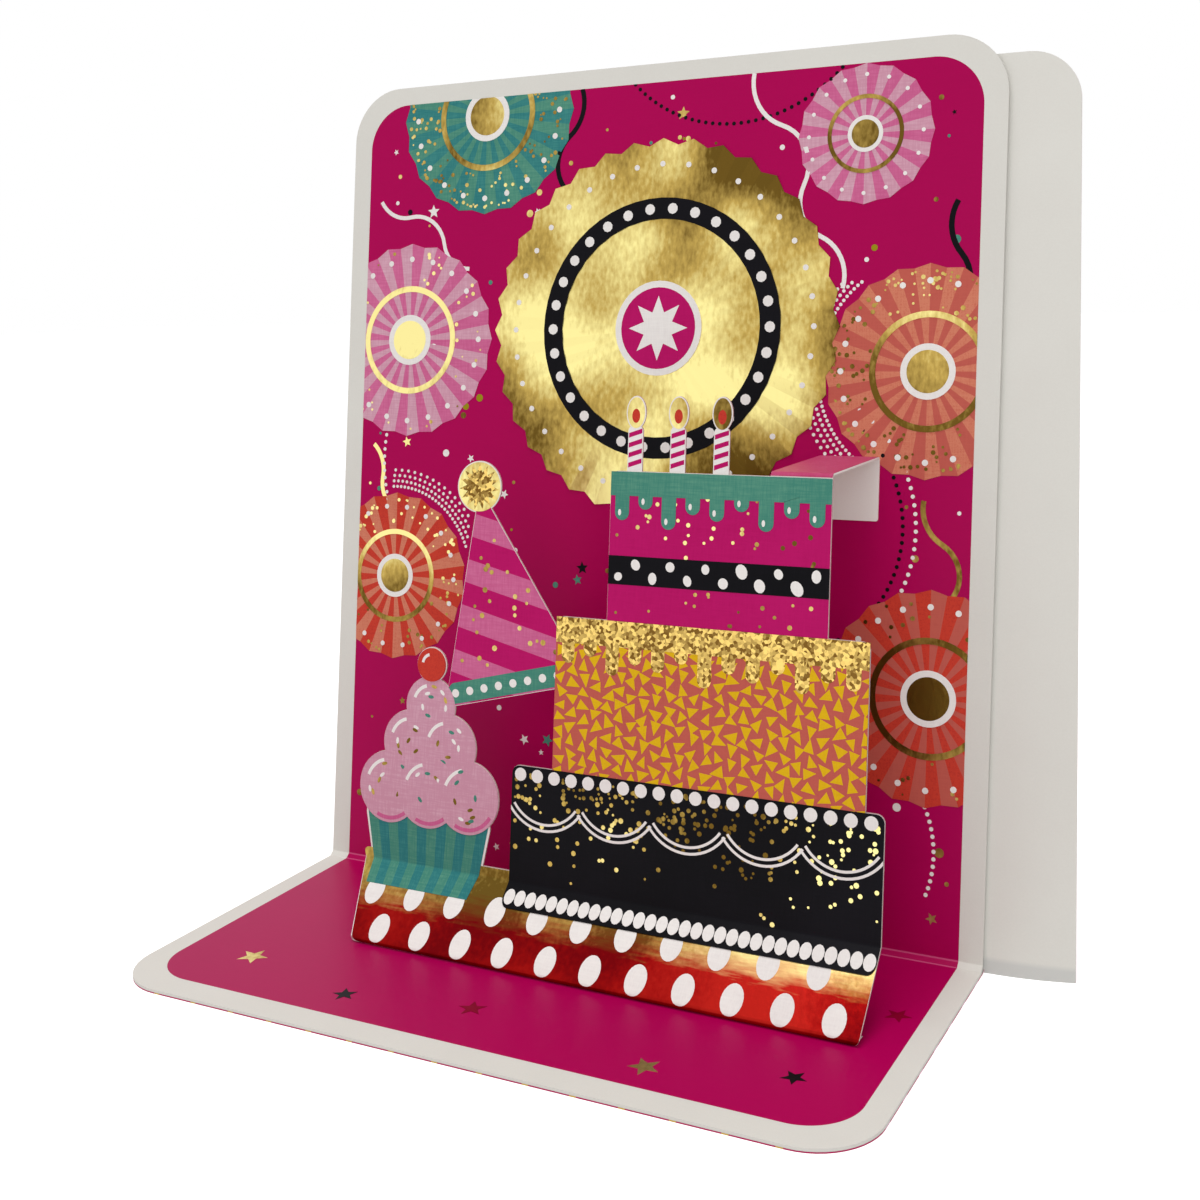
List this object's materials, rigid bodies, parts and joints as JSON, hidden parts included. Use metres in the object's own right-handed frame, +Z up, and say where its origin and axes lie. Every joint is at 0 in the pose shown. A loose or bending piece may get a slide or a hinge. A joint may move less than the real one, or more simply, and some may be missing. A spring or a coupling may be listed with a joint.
{
  "type": "pop up card",
  "caption": "Standing greeting card: leaning back panel, folded base, plain rear leaf and a die-cut pop-up layer held by a strap.",
  "frame": {"origin": "centre of the face that the card rests on, under the middle of the base", "axes": "+X along the fold to the viewer's right, +Y from the base towards the back panel, +Z up"},
  "size_m": [0.1685, 0.0962, 0.1773],
  "materials": {
    "printed_board": "smooth printed board with a cream border",
    "cover_board": "plain uncoated board",
    "popup_board": "printed and foiled board"
  },
  "bodies": {
    "root": {"printed_card": "printed_board", "plain_cover": "cover_board", "popup_sheet": "popup_board"}
  },
  "joints": []
}
